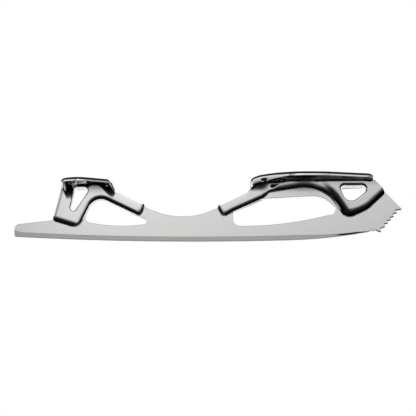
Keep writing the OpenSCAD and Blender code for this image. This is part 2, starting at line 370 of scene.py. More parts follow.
def bend(f, k, r):
    """How far a round of radius r has left its tangent, where a field is above 0."""
    t = soft_ramp(f, k)
    return t * t / (2 * r)


def length(a, b):
    d = np.maximum(np.hypot(a.v, b.v), 1e-9)
    return Field(d, None if a.g is None else (a.v / d)[:, None] * a.g + (b.v / d)[:, None] * b.g)


# %% [markdown]
# ## From field to mesh
# The mesh is a surface net: one vertex in every cell of a grid that the surface passes through, joined
# across the grid's edges. The vertices are then slid along the field's slope until they lie on the
# surface, and evened out between the slides. Where two fields meet in a sharp edge, its vertices are slid
# onto both, and the faces on its two sides get normals of their own.

# %% surface nets
ON_CREASE = 0.3     # in cells


def surface_net(v, creases, lo, step):
    """Vertices and outward quads of the surface where a grid of values is zero. For each crease, a pair of
    fields that meet in a sharp edge, it also tells which vertices lie on the edge and which quads belong
    to the first field."""
    total = np.zeros((v.size, 3))
    count = np.zeros(v.size, int)
    quads, firsts = [], [[] for _ in creases]
    touched = np.zeros((len(creases), 2, v.size), bool)
    for axis in range(3):
        n = v.shape[axis]
        v0, v1 = v.take(range(n - 1), axis), v.take(range(1, n), axis)
        at = np.argwhere((v0 < 0) != (v1 < 0))
        a, b = v0[tuple(at.T)], v1[tuple(at.T)]
        share = a / (a - b)
        point = at.astype(float)
        point[:, axis] += share
        ring = []
        for db, dc in ((1, 1), (0, 1), (0, 0), (1, 0)):
            cell = at.copy()
            cell[:, (axis + 1) % 3] -= db
            cell[:, (axis + 2) % 3] -= dc
            index = np.ravel_multi_index(cell.T, v.shape)
            np.add.at(total, index, point)
            np.add.at(count, index, 1)
            ring.append(index)
        ring = np.stack(ring, 1)
        quads.append(np.where((a < 0)[:, None], ring, ring[:, ::-1]))
        here = np.ravel_multi_index(at.T, v.shape)
        next_at = at + np.eye(3, dtype=int)[axis]
        there = np.ravel_multi_index(next_at.T, v.shape)
        for k, pair in enumerate(creases):
            one, two = (f.v[here] * (1 - share) + f.v[there] * share for f in pair)
            on = np.abs(np.maximum(one, two)) < ON_CREASE * step
            for side, rows in enumerate((on & (one > two), on & (one <= two))):
                touched[k, side, ring[rows].ravel()] = True
            firsts[k].append(one > two)
    used = np.flatnonzero(count)
    order = np.zeros(v.size, int)
    order[used] = np.arange(len(used))
    edges = [touched[k].all(0)[used] for k in range(len(creases))]
    points = lo + total[used] / count[used, None] * step
    return points, order[np.concatenate(quads)], edges, [np.concatenate(f) for f in firsts]


def unit(v):
    return v / np.maximum(np.linalg.norm(v, axis=-1, keepdims=True), 1e-9)


# %% settling onto the surface
BY_EDGE, MOST_SLIDE = 0.45, 0.5     # in cells
LEAST_SLOPE, SLIDES, EVENING = 0.05, 3, 0.5


def settle(points, quads, edges, firsts, fields_at, rounds=4):
    """Slides vertices onto the surface, or onto its sharp edges, and evens them out. Returns them with the
    normal at every corner of every quad."""
    pairs = np.concatenate([quads[:, [k, (k + 1) % 4]] for k in range(4)])
    links = np.bincount(pairs.ravel(), minlength=len(points))
    marked = []
    for rows, (a, b) in zip(edges, fields_at(points)[1]):
        beside = np.bincount(pairs[:, 0], rows[pairs[:, 1]], len(points)) > 2
        near = np.maximum(np.abs(a.v), np.abs(b.v)) < BY_EDGE * CELL
        marked.append(rows | (beside & near))
    edges = marked
    sharp = np.any(edges, axis=0)

    def slide(points, f, rows):
        slope = np.maximum((f.g[rows] ** 2).sum(1), LEAST_SLOPE)
        move = np.clip(f.v[rows] / slope, -MOST_SLIDE * CELL, MOST_SLIDE * CELL)
        points[rows] -= move[:, None] * f.g[rows]

    for turn in range(rounds + 1):
        for _ in range(SLIDES):
            f, creases = fields_at(points)
            for rows, (a, b) in zip(edges, creases):
                slide(points, a, rows)
                slide(points, b, rows)
            slide(points, f, ~sharp)
        if turn < rounds:
            normal = unit(f.g)
            pull = np.zeros_like(points)
            for k in range(3):
                pull[:, k] = (np.bincount(pairs[:, 0], points[pairs[:, 1], k], len(points))
                              + np.bincount(pairs[:, 1], points[pairs[:, 0], k], len(points)))
            pull = pull / links[:, None] - points
            pull[sharp] = 0
            points = points + EVENING * (pull - (pull * normal).sum(1)[:, None] * normal)
    f, creases = fields_at(points)
    corner = unit(f.g)[quads]
    for rows, first, (a, b) in zip(edges, firsts, creases):
        side = np.where(first[:, None, None], unit(a.g)[quads], unit(b.g)[quads])
        corner = np.where(rows[quads][..., None], side, corner)
    return points, corner


# %% mesh objects
def new_piece(name, points, faces, materials, normals=None, slots=None):
    """A mesh object from points in millimetres, with normals at the faces' corners if they are given."""
    mesh = bpy.data.meshes.new(name)
    mesh.from_pydata((np.asarray(points) * MM).tolist(), [], [list(map(int, f)) for f in faces])
    for m in materials:
        mesh.materials.append(m)
    if slots is not None:
        mesh.polygons.foreach_set("material_index", np.asarray(slots, np.int32))
    mesh.polygons.foreach_set("use_smooth", np.ones(len(mesh.polygons), bool))
    mesh.update()
    if normals is not None:
        mesh.normals_split_custom_set(np.asarray(normals).reshape(-1, 3).tolist())
    piece = bpy.data.objects.new(name, mesh)
    bpy.context.scene.collection.objects.link(piece)
    return piece


# %% [markdown]
# ## Finishes
# Bright chrome covers the mounts. The runner has a satin grind on its faces, a darker one on the relief
# along its bottom edge, and rougher cuts in the hollow and on the teeth. The teeth's cut edges are near
# black: painted shade, for the shade under the toe rake's teeth. The braze is plated where it shows on top
# and bare between cheek and runner. Each is a metal whose roughness and height vary a little, because a
# single value looks like plastic. Grinding marks run along the blade, so their noise is stretched along X.

# %% metal maker
TINT, MARK_DEPTH = 0.04, 0.02 * MM


def metal(name, color, rough, spread, scale, height, detail=3.0):
    """A metal with roughness rough +- spread, and noise of the given scale for marks and height."""
    m = bpy.data.materials.new(name)
    m.use_nodes = True
    nodes, link = m.node_tree.nodes, m.node_tree.links.new
    shader = nodes["Principled BSDF"]
    shader.inputs["Metallic"].default_value = 1.0
    where = nodes.new("ShaderNodeTexCoord")
    stretch = nodes.new("ShaderNodeMapping")
    stretch.inputs["Scale"].default_value = scale
    noise = nodes.new("ShaderNodeTexNoise")
    noise.inputs["Scale"].default_value = 1.0
    noise.inputs["Detail"].default_value = detail
    link(where.outputs["Object"], stretch.inputs["Vector"])
    link(stretch.outputs["Vector"], noise.inputs["Vector"])
    tint = nodes.new("ShaderNodeMapRange")
    tint.inputs["To Min"].default_value = rough - spread
    tint.inputs["To Max"].default_value = rough + spread
    link(noise.outputs["Fac"], tint.inputs["Value"])
    link(tint.outputs["Result"], shader.inputs["Roughness"])
    ramp = nodes.new("ShaderNodeValToRGB")
    ramp.color_ramp.elements[0].color = [c * (1 - TINT) for c in color] + [1]
    ramp.color_ramp.elements[1].color = [min(c * (1 + TINT), 1) for c in color] + [1]
    link(noise.outputs["Fac"], ramp.inputs["Fac"])
    link(ramp.outputs["Color"], shader.inputs["Base Color"])
    bump = nodes.new("ShaderNodeBump")
    bump.inputs["Strength"].default_value = height
    bump.inputs["Distance"].default_value = MARK_DEPTH
    link(noise.outputs["Fac"], bump.inputs["Height"])
    link(bump.outputs["Normal"], shader.inputs["Normal"])
    return m


chrome = metal("chrome", (0.86, 0.865, 0.865), 0.035, 0.015, (60, 60, 60), 0.02)
satin = metal("satin_steel", (0.93, 0.93, 0.92), 0.19, 0.03, (90, 900, 4000), 0.25, 5.0)
relief = metal("relief_steel", (0.66, 0.66, 0.65), 0.36, 0.05, (120, 900, 6000), 0.3, 5.0)
# The teeth's finish is near black: painted shade on the cut edges of the toe rake.
tooth = metal("tooth_painted_shade", (0.16, 0.16, 0.16), 0.45, 0.08, (300, 900, 900), 0.4, 5.0)
hollow = metal("hollow_steel", (0.4, 0.4, 0.4), 0.36, 0.05, (120, 4000, 900), 0.3, 5.0)
plated = metal("plated_braze", (0.9, 0.9, 0.89), 0.38, 0.06, (400, 400, 400), 0.4)
bare_braze = metal("bare_braze", (0.74, 0.73, 0.69), 0.4, 0.08, (700, 700, 700), 0.5)
print("finishes:", [m.name for m in (chrome, satin, relief, tooth, hollow, plated, bare_braze)])

# %% [markdown]
# ## The chromed mounts
# A half is a cheek, a plate and the fillet between them. The cheek's lower edges roll over into a quarter
# ellipse, which reads as a black band in the mirror. The plate's rim is a full round on top, and its edge
# is turned down below as a lip. Where the two halves meet on top, their edges roll down into a valley that
# the braze fills. A bevel can't follow edges whose roll grows and shrinks, so each of these is a field.

# %% sizes of the edges
ROLL_T = 2.3                     # depth of the roll; the rest of the cheek's edge stays upright
ROLL_DEPTH = 2.4                 # the outline of the upper edges stands this far outside the cheek
RIM_R, HOLE_ROUND, WINDOW_ROUND = 2.6, 0.4, 0.9
WEB_ROUND, SHELF_UP = 1.0, 0.3   # the fillet's own edges, and how far it reaches into the plate
LIP_W, HEEL_LIP, SOLE_LIP = 5.0, 0.5, 0.6
SINK_W, SINK_LOW = 1.3, 2.0
LEAN_W, LEAN_R = 6.2, 75.0       # the arms lean back over the last millimetres below their upper edges
SOLE_LEAN_SHARE = 0.5
END_WEAR = 2.5
print("upright part of a cheek's edge, mm:", round(OUTER_Y - ROLL_T - INNER_Y, 2))


# %% what both mounts share
def hole_field(s, places, top):
    """Screw holes. The one that glints has a countersink on the underside of the plate."""
    seat, found = top - PLATE_T, None
    for place in places:
        hole = length(s.x - place[0], s.y - place[1]) - HOLE_R
        if place == BALL_HOLE:
            sink = (hole - SINK_W + (s.z - seat)) * math.sqrt(0.5)
            hole = either(hole, both(sink, seat - SINK_LOW - s.z))
        found = hole if found is None else either(found, hole)
    return found


def finish_half(s, body, creases, window, window_r, holes, top):
    """Cuts the window and the holes, and rolls the inner edge of the plate into the seam."""
    body = both_rounded(body, -s.side(window), window_r)
    body = both_rounded(body, -holes, HOLE_ROUND)
    inner = INNER_Y - s.y
    back = both_rounded(s.z - top, inner, PLATE_T)
    return both(body, back), [(body, inner)] + creases


def mount_body(s, face, rim, under, above, reach, edge, web_edge, seat):
    """A cheek, the plate on it and the fillet between them, which stays inside the side outline. Returns
    the field and the pairs of fields that meet in its sharp edges."""
    shelf = s.z - seat - SHELF_UP
    fillet = either_filleted(face, under, reach)
    web = both_rounded(both_rounded(fillet, web_edge, WEB_ROUND), rim, WEB_ROUND)
    slab = both_rounded(both(edge, under), above, RIM_R)
    cheek = both(face, rim)
    return either(both(either(cheek, web), shelf), slab), [(face, rim), (edge, under)]


def lean_back(upper):
    """Turns a face a little upwards, more and more, below an upper edge."""
    return bend(upper + ROLL_DEPTH + LEAN_W, 1.0, LEAN_R)


# %% [markdown]
# ## The heel half
# Its fillet is small along the middle and opens into broad flares at the back and at the horn in front,
# which carry most of the load. Each pair below is a stretch along x over which one form turns into another.

# %% heel half
HEEL_ARM, HEEL_LEG, HEEL_HORN = (-72.0, -62.0), (-92.0, -100.0), (-82.0, -70.0)
HEEL_BEHIND, HEEL_END, HEEL_WINDOW_SIDE = (-96.0, -100.0), (-107.5, -103.0), (-85.0, -90.0)
HEEL_LEAN_H, HEEL_LEAN_R = 8.0, 34.0
HEEL_LOW_ROLL, HEEL_FOOT_ROLL, UPPER_ROLL, ARM_LESS, LEG_LESS = 3.3, 4.3, 5.6, 2.6, 0.8
HEEL_FILLET, WINDOW_FILLET, BACK_FLARE, HORN_FLARE = 1.6, 2.6, 8.0, 9.0
WEB_INSET = 0.6


def heel_field(s):
    arm, leg = ease(s.x, *HEEL_ARM), ease(s.x, *HEEL_LEG)
    low = both_soft(s.side(HEEL_ARCH), s.side(HEEL_ARM_END), END_WEAR)
    upper = s.side(inset(HEEL_UPPER, -ROLL_DEPTH))
    y = s.y - bend(s.z - HEEL_SEAT + HEEL_LEAN_H, 0.5, HEEL_LEAN_R) + arm * lean_back(upper)
    face = crown(y, [(low, HEEL_LOW_ROLL), (s.side(HEEL_FOOT), HEEL_FOOT_ROLL),
                     (upper, UPPER_ROLL - LEG_LESS * leg.v - ARM_LESS * arm.v)], ROLL_T)
    plan = s.plan(HEEL_PLAN)
    under = HEEL_SEAT - HEEL_LIP / LIP_W * soft_ramp(plan + LIP_W, 1.0) - s.z
    reach = (HEEL_FILLET + WINDOW_FILLET * ease(s.x, *HEEL_WINDOW_SIDE)
             + BACK_FLARE * ease(s.x, *HEEL_BEHIND) * ease(s.x, *HEEL_END)
             + HORN_FLARE * ease(s.x, *HEEL_HORN))
    web_edge = s.plan(inset(HEEL_WEB_PLAN, WEB_INSET))
    body, creases = mount_body(s, face, s.side(HEEL_CHEEK), under, s.z - HEEL_TOP, reach, plan, web_edge,
                               HEEL_SEAT)
    holes = hole_field(s, HEEL_HOLES, HEEL_TOP)
    return finish_half(s, body, creases, HEEL_WINDOW, WINDOW_ROUND, holes, HEEL_TOP)


# %% [markdown]
# ## The sole half
# The plate ends at the back in a tongue that drops towards the arm. There the lip is deepest, with a small
# oval slot in it, and the cheek flares out to meet it. The front leg is fuller than the arm and slopes to
# its rear edge, which makes the broad black band beside the window.

# %% sole half
SOLE_ARM, SOLE_BARE_ARM, SOLE_LEG, SOLE_NOSE = (50.0, 40.0), (34.0, 24.0), (80.0, 93.0), (96.0, 112.0)
KINK_IN, KINK_OUT, TONGUE, FILLET_END = (39.0, 44.0), (53.0, 47.0), (47.0, 38.0), (50.0, 60.0)
TONGUE_X, TONGUE_SLOPE = 38.0, 0.232
FLARE_H, FLARE_R, SOLE_LEAN_H, SOLE_LEAN_R = 8.5, 11.0, 4.3, 40.0
LEG_OUT, LEG_SLOPE, LEG_SLOPE_W = 1.6, 0.55, 6.0
LIP_X, LIP_SLOPE, LIP_TUCK, LIP_R = 57.0, 0.16, 0.7, 16.0
SLOT_X, SLOT_Y, SLOT_Z, SLOT_HALF_W, SLOT_HALF_H = 41.0, 11.0, 42.6, 2.1, 0.8
SOLE_LOW_ROLL, LOW_ARM_LESS, KINK_LESS, LOW_LEG_LESS = 4.6, 1.2, 0.55, 2.6
SOLE_FOOT_ROLL, FOOT_NOSE_LESS, UPPER_NOSE_LESS = 7.0, 1.8, 2.8
SOLE_FILLET, FILLET_LESS = 2.6, 1.8
WINDOW_TOP_ROUND, WINDOW_TOP = 1.0, (SOLE_TOP - 14.0, SOLE_TOP - 6.0)


def sole_face(s):
    """The outer face of the cheek with its rolled edges."""
    arm, leg, nose = (ease(s.x, *stretch) for stretch in (SOLE_ARM, SOLE_LEG, SOLE_NOSE))
    kink = ease(s.x, *KINK_IN) * ease(s.x, *KINK_OUT)
    low = both_soft(s.side(SOLE_ARCH), s.side(SOLE_ARM_END), END_WEAR)
    upper = s.side(inset(SOLE_UPPER, -ROLL_DEPTH))
    y = s.y - ease(s.x, *TONGUE) * bend(s.z - SOLE_SEAT + FLARE_H, 0.5, FLARE_R)
    y = y - bend(s.z - SOLE_SEAT + SOLE_LEAN_H, 0.3, SOLE_LEAN_R)
    y = y + leg * (LEG_SLOPE * soft_ramp(low + LEG_SLOPE_W, 2.0) - LEG_OUT)
    y = y + SOLE_LEAN_SHARE * ease(s.x, *SOLE_BARE_ARM) * lean_back(upper)
    low_roll = (SOLE_LOW_ROLL - LOW_ARM_LESS * arm.v) * (1 - KINK_LESS * kink.v) - LOW_LEG_LESS * leg.v
    return crown(y, [(low, low_roll), (s.side(SOLE_FOOT), SOLE_FOOT_ROLL - FOOT_NOSE_LESS * nose.v),
                     (upper, UPPER_ROLL - UPPER_NOSE_LESS * nose.v - ARM_LESS * arm.v)],
                 ROLL_T + LEG_OUT * leg.v)


def sole_field(s):
    drop = TONGUE_SLOPE * soft_ramp(TONGUE_X - s.x, 1.4)
    plan = s.plan(SOLE_PLAN)
    lip = (SOLE_LIP + LIP_SLOPE * soft_ramp(LIP_X - s.x, 2.0)) / LIP_W
    under = SOLE_SEAT - drop - lip * soft_ramp(plan + LIP_W, 1.0) - s.z
    edge = plan + bend(SOLE_SEAT - LIP_TUCK - drop - s.z, 0.3, LIP_R)
    reach = SOLE_FILLET - FILLET_LESS * ease(s.x, *FILLET_END)
    above = s.z - SOLE_TOP + drop
    body, creases = mount_body(s, sole_face(s), s.side(SOLE_CHEEK), under, above, reach, edge,
                               plan + LIP_TUCK, SOLE_SEAT)
    oval = length((s.x - SLOT_X) / SLOT_HALF_W, (s.z - SLOT_Z) / SLOT_HALF_H) - 1
    slot = both(SLOT_HALF_H * oval, SLOT_Y - s.y)
    holes = either(hole_field(s, SOLE_HOLES, SOLE_TOP), slot)
    window_r = WINDOW_ROUND + WINDOW_TOP_ROUND * smooth_step(s.z.v, *WINDOW_TOP)
    return finish_half(s, body, creases, SOLE_WINDOW, window_r, holes, SOLE_TOP)


# %% [markdown]
# ## Left and right
# The mounts are mirror images, so each half is made once, for the left side, and mirrored. A mirrored face
# runs the other way round, so its corners are turned about.

# %% build and mirror the halves
MARGIN = 2          # cells around a half


def mount_half(field, lo, hi):
    axes = [np.arange(a - MARGIN * CELL, b + (MARGIN + 0.5) * CELL, CELL) for a, b in zip(lo, hi)]
    grid = Spots(*axes, grid=True)
    whole, creases = field(grid)
    net = surface_net(whole.v.reshape(grid.shape), creases, np.array([a[0] for a in axes]), CELL)
    return (*settle(*net, lambda p: field(Spots(*p.T, grid=False))), net[1])


def add_mounts(kind, field, lo, hi):
    points, normals, quads = mount_half(field, lo, hi)
    for side, sign in (("left", 1), ("right", -1)):
        flip = np.array([1, sign, 1])
        faces, corners = (quads, normals) if sign > 0 else (quads[:, ::-1], normals[:, ::-1])
        name = f"{kind}_mount_chrome_{side}"
        piece = new_piece(name, points * flip, faces, [chrome], normals=corners * flip)
        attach(piece, "root")
        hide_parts(f"{kind}_mount_{side}")
        print(name, len(points), "vertices")


add_mounts("heel", heel_field, (-115.5, INNER_Y, 8.5), (-44.5, 23.5, HEEL_TOP))
add_mounts("sole", sole_field, (4.5, INNER_Y, 15.0), (131.0, 31.5, SOLE_TOP))

# %% [markdown]
# ## The runner
# The runner is one plate, so its mesh is a cross-section carried round every outline: the outside, the two
# openings and the two windows, with flat faces between them. On most edges the section is a small bevel.
# Along the bottom it is the relief band, the edges and the hollow between them, and on the tooth tips of
# the toe rake it is a V.

# %% runner outlines
LOW_X, SPIN_X = -10.0, 60.0
ROCKER_R, SPIN_R = 2438.0, 380.0
SPIN_A = math.asin((SPIN_X - LOW_X) / ROCKER_R)
SPIN_C = (SPIN_X - SPIN_R * math.sin(SPIN_A),
          ROCKER_R * (1 - math.cos(SPIN_A)) + SPIN_R * math.cos(SPIN_A))


def rocker_z(x):
    """Height of the bottom edge: the main rocker, then the tighter spin rocker."""
    if x <= SPIN_X:
        return ROCKER_R - math.sqrt(ROCKER_R ** 2 - (x - LOW_X) ** 2)
    return SPIN_C[1] - math.sqrt(SPIN_R ** 2 - (x - SPIN_C[0]) ** 2)


RAKE_X, RAKE_Z = 120.0, rocker_z(120.0)
BOTTOM = [(x, rocker_z(x)) for x in [*np.linspace(-140.8, 57, 67), *np.linspace(60, 118, 30)]]
TOE = [
    (RAKE_X + 3.6, RAKE_Z + 0.5, 0.6), (RAKE_X + 4.7, RAKE_Z - 0.25, 0.4), (126.9, 6.85, 0.15),
    (126.2, 9.1, 0.3), (129.9, 10.7, 0.15), (129, 12.6, 0.2), (132, 13.2, 0.15), (131.1, 15, 0.2),
    (134.2, 15.7, 0.15), (133.3, 17.5, 0.2), (136.4, 18.2, 0.15), (135.5, 20.1, 0.2),
    (138.7, 21, 0.15), (136.9, 22.8, 0.3), (TIP_X, 23.7, 0.3)]
UPPER = [
    (130.3, 35.9, 5), (128.4, 36.9, 0.5), (127.4, 39.1, 5), (121.4, SOLE_SEAT + 1.2, 0.4),
    (SOLE_FRONT, SOLE_SEAT + 1.2), (SOLE_FRONT, SOLE_SEAT), (40.6, SOLE_SEAT, 1), (28.2, 35.4, 20),
    (6, 24, 15), (-17.6, 13.9, 55), (-43, 23.5, 15), (-66.9, 36.5, 8), (-70.9, HEEL_SEAT, 1),
    (-107, HEEL_SEAT, 1), (-114.1, 15.3, 2.5), (TAIL_X, 12.1, 3.9), (TAIL_X, 8.2)]
TAIL = [(TAIL_X, rocker_z(TAIL_X), 1)]
HEEL_OPENING = [
    (-92.6, 14.4, 4.5), (-66, 10.2, 120), (-45.2, 12.5, 1.8), (-45.2, 15.6, 0.8), (-82.75, 33.8, 9)]
SOLE_OPENING = [
    (18.3, 10.9, 5), (57, 11.9, 240), (92.9, 20.2, 2.5), (93.9, 24.8, 1), (83.2, 33.9, 18),
    (39.8, 31.5, 15), (18.3, 21.5, 1.5)]
IS_BOTTOM, IS_TOOTH, IS_EDGE, IS_TAIL = range(4)
print("bottom edge at the toe rake, mm above the ice:", round(RAKE_Z, 2))

# %% [markdown]
# ## The runner's edges
# At each point of an outline the section has seven steps from the right face to the middle plane, and the
# left half mirrors them. The bottom keeps its relief band and hollow up to the toe rake, where they fade.

# %% runner cross-sections
RING_TURN, SAME_PLACE = 10.0, 1e-4            # degrees between the points of a round, and mm
HOLLOW_R, HOLLOW_HALF, HOLLOW_STEP = 12.7, 1.75, 0.6
BEVEL, BEVEL_MID = 0.2, 0.29                  # a small round, and where its middle lies
TOOTH_BEVEL, TOOTH_UNDER = 0.07, 0.3          # the teeth are rounder on their undersides
CUT, CUT_AT, CUT_IN = 0.8, np.array((129.9, 10.7)), np.array((-0.731, 0.682))
CUT_OUTER, CUT_MID, CUT_LEAST = 0.7, 0.35, 0.3        # half widths of the V, and its least share
RELIEF_H, RELIEF_LEAST, RELIEF_DEPTH, RELIEF_STEP = 3.0, 0.2, 0.15, 0.09
RELIEF_END, RELIEF_NARROW, NARROW_SHARE = (108.0, 118.0), (60.0, 112.0), 0.7
TOE_TILT, TILT_RUN = 0.3, (88.0, 110.0)
TAIL_RISE, TAIL_SWEEP, TAIL_H, TAIL_SLOPE = 1.1, (-137.0, -142.0), 8.0, 0.3
EDGE_IN, EDGE_UP, HAIR = 0.1, 0.05, 0.02      # a hair keeps two steps of a section apart


def runner_ring(groups, hole=False):
    """Points of an outline, the kind of each, and the way into the metal at each."""
    made = corner_points([k for _, corners in groups for k in corners], RING_TURN)
    kind = np.repeat([k for k, corners in groups for _ in corners], [len(m) for m in made])
    p = np.concatenate(made)
    keep = np.linalg.norm(p - np.roll(p, 1, 0), axis=1) > SAME_PLACE
    p, kind = (p[keep][::-1], kind[keep][::-1]) if hole else (p[keep], kind[keep])
    before, after = p - np.roll(p, 1, 0), np.roll(p, -1, 0) - p
    na, nb = (np.stack([-e[:, 1], e[:, 0]], 1) / np.linalg.norm(e, axis=1)[:, None]
              for e in (before, after))
    return p, kind, (na + nb) / (1 + (na * nb).sum(1))[:, None]


def edge_section(p, kind, into):
    """The section of a plain edge, with a small round, and of the teeth, with a V cut in their tips."""
    off, y = np.zeros((len(p), 7, 2)), np.zeros((len(p), 7))
    down = np.clip(into[:, 1] / np.linalg.norm(into, axis=1), 0, 1)
    bevel = np.where(kind == IS_TOOTH, TOOTH_BEVEL + TOOTH_UNDER * down, BEVEL)
    cut = np.where(kind == IS_TOOTH, np.clip(CUT - (p - CUT_AT) @ CUT_IN, 0, CUT), 0)
    wide = np.maximum(cut / CUT, CUT_LEAST)
    off[:, 0], off[:, 1] = into * bevel[:, None], into * BEVEL_MID * bevel[:, None]
    off[:, 5], off[:, 6] = cut[:, None] / 2 * CUT_IN, cut[:, None] * CUT_IN
    y[:, 0], y[:, 1], y[:, 2] = -FACE_Y, BEVEL_MID * bevel - FACE_Y, bevel - FACE_Y
    y[:, 3], y[:, 4], y[:, 5] = -2 * HOLLOW_STEP, -CUT_OUTER * wide, -CUT_MID * wide
    return off, y


def bottom_section(p, kind, off, y):
    """Puts the relief band, the edges and the hollow into the sections along the bottom and the tail."""
    n, x = len(p), p[:, 0]
    low = (kind == IS_BOTTOM) | (kind == IS_TAIL)
    fade = 1 - smooth_step(x, *RELIEF_END)
    band = (RELIEF_H - RELIEF_LEAST) * (1 - NARROW_SHARE * smooth_step(x, *RELIEF_NARROW)) * fade
    high = RELIEF_LEAST + band + TAIL_RISE * smooth_step(x, *TAIL_SWEEP)
    high = np.where(kind == IS_TAIL, TAIL_H - TAIL_SLOPE * (x - TAIL_X) - p[:, 1], high)
    ground = FACE_Y - RELIEF_DEPTH * fade
    edge = ground - TOE_TILT * smooth_step(x, *TILT_RUN) * fade
    for step, rise in ((0, high), (1, high - RELIEF_STEP * fade - HAIR), (2, EDGE_UP), (3, 0.0)):
        off[low, step] = np.stack([np.zeros(n), np.broadcast_to(rise, n)], 1)[low]
    for step, at in ((0, FACE_Y), (1, ground), (2, edge - HAIR), (3, edge - EDGE_IN), (4, 2 * HOLLOW_STEP),
                     (5, HOLLOW_STEP), (6, 0.0)):
        y[low, step] = -np.broadcast_to(at, n)[low]
    for step in (4, 5, 6):
        arch = np.maximum((HOLLOW_HALF ** 2 - y[:, step] ** 2) / (2 * HOLLOW_R), 0) * fade
        off[low, step] = np.stack([np.zeros(n), arch], 1)[low]


# %% the edge along one outline
ON_FACE, ON_RELIEF, ON_TOOTH_SHADE, ON_HOLLOW = range(4)


def edge_strip(p, kind, into, first):
    """Points, faces and finishes of the edge along an outline, and its rims on the right and left face."""
    off, y = edge_section(p, kind, into)
    bottom_section(p, kind, off, y)
    off = np.concatenate([off, off[:, 5::-1]], 1)
    y = np.concatenate([y, -y[:, 5::-1]], 1)
    at = p[:, None] + off
    points = np.stack([at[..., 0], y, at[..., 1]], 2).reshape(-1, 3)
    index = first + np.arange(len(points)).reshape(len(p), -1)
    after = np.roll(index, -1, 0)
    faces = np.stack([index[:, :-1], index[:, 1:], after[:, 1:], after[:, :-1]], 2)
    pair = np.stack([kind, np.roll(kind, -1)])
    ground = np.isin(pair, (IS_BOTTOM, IS_TAIL)).all(0)
    # The teeth's edges take the near-black finish, which is painted shade under the teeth.
    finish = np.where(ground, ON_RELIEF, np.where((pair == IS_TOOTH).all(0), ON_TOOTH_SHADE, ON_FACE))
    slots = np.repeat(finish[:, None], index.shape[1] - 1, 1)
    slots[ground, 3:9] = ON_HOLLOW                # the steps between the two edges
    return points, faces.reshape(-1, 4).tolist(), slots.ravel().tolist(), index[:, 0], index[:, -1]


def flat_side(points, rims, turn):
    """Triangles between the rims of one face, all turned the same way."""
    flat = np.concatenate(rims)
    loops = [[Vector((points[k][0], points[k][2], 0)) for k in rim] for rim in rims]
    triangles = np.array(tessellate_polygon(loops))
    a, b, c = (points[flat[triangles[:, k]]][:, [0, 2]] for k in range(3))
    area = (b - a)[:, 0] * (c - a)[:, 1] - (b - a)[:, 1] * (c - a)[:, 0]
    wrong = area * turn < 0
    triangles[wrong] = triangles[wrong][:, ::-1]
    return flat[triangles].tolist()


# %% the runner's mesh
SHARP_FROM = math.radians(48)


def add_runner():
    outside = [(IS_BOTTOM, BOTTOM), (IS_TOOTH, TOE), (IS_EDGE, UPPER), (IS_TAIL, TAIL)]
    rings = [runner_ring(outside)]
    rings += [runner_ring([(IS_EDGE, c)], hole=True)
              for c in (HEEL_OPENING, SOLE_OPENING, HEEL_WINDOW, SOLE_WINDOW)]
    points, faces, slots, right, left = np.empty((0, 3)), [], [], [], []
    for ring in rings:
        strip, strip_faces, strip_slots, right_rim, left_rim = edge_strip(*ring, len(points))
        points = np.concatenate([points, strip])
        faces += strip_faces
        slots += strip_slots
        right.append(right_rim)
        left.append(left_rim)
    for rims, turn in ((right, 1), (left, -1)):
        side = flat_side(points, rims, turn)
        faces += side
        slots += [ON_FACE] * len(side)
    piece = new_piece("runner_ground", points, faces, [satin, relief, tooth, hollow], slots=slots)
    piece.data.set_sharp_from_angle(angle=SHARP_FROM)
    rim_points = set(np.concatenate(right + left).tolist())
    for e in piece.data.edges:
        if e.vertices[0] in rim_points and e.vertices[1] in rim_points:
            e.use_edge_sharp = True
    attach(piece, "root")
    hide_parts("runner")
    print("runner:", len(points), "vertices,", len(faces), "faces")


add_runner()

# %% [markdown]
# ## The braze
# The seams on top and the thin films under the cheeks are simple forms, so the CAD solids stay as they are
# and only get a finish.

# %% CAD nodes that show as they are
def dress(node, finish):
    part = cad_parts[node]
    part.data.materials.clear()
    part.data.materials.append(finish)
    print(node, "has", finish.name)


for mount in ("sole", "heel"):
    dress(f"{mount}_seam_braze", plated)
for mount in ("sole", "heel"):
    for side in ("left", "right"):
        dress(f"{mount}_braze_{side}", bare_braze)

# %% [markdown]
# ## Surroundings
# Chrome has no colour of its own: it shows the room. The world is a plain studio, light from the horizon
# up to about 30 degrees and dark below and above. Behind the blade the light band lies lower, about the
# horizon. That gives polished chrome its pale faces, black lower edges and the dark line along its rims.
# Seen directly the world is white.

# %% ramps of grey
def grey_ramp(tree, value, lo, hi, stops):
    """Greys along a value from lo to hi. A stop is a place and a level."""
    scaled = tree.nodes.new("ShaderNodeMapRange")
    scaled.inputs["From Min"].default_value, scaled.inputs["From Max"].default_value = lo, hi
    tree.links.new(value, scaled.inputs["Value"])
    node = tree.nodes.new("ShaderNodeValToRGB")
    elements = node.color_ramp.elements
    while len(elements) < len(stops):
        elements.new(0.5)
    for e, (at, level) in zip(elements, stops):
        e.position, e.color = (at - lo) / (hi - lo), (level, level, level, 1)
    tree.links.new(scaled.outputs["Result"], node.inputs["Fac"])
    return node.outputs["Color"]


# %% world
FRONT = [(-90, 0), (-46, 0.004), (-30, 0.012), (-17, 0.05), (-10, 0.13), (-4, 0.3), (2, 0.5), (10, 0.65),
         (16, 0.8), (22, 1), (28, 1), (34, 0.03), (90, 0.02)]           # degrees up, level
BEHIND = [(-90, 0), (-60, 0), (-28, 0), (-18, 1), (6, 1), (14, 0.04), (90, 0.02)]
LEFT = [(-90, 0), (-4, 0), (4, 0.4), (12, 0.75), (22, 0.85), (28, 0.85), (34, 0.03), (90, 0.02)]
RIGHT = [(-90, 0), (-4, 0), (4, 0.1), (12, 0.3), (22, 0.6), (28, 0.6), (34, 0.03), (90, 0.02)]
SIDE_FROM, SIDE_TO, BACK_FROM, BACK_TO = 0.4, 0.7, -0.15, 0.25         # where the walls meet


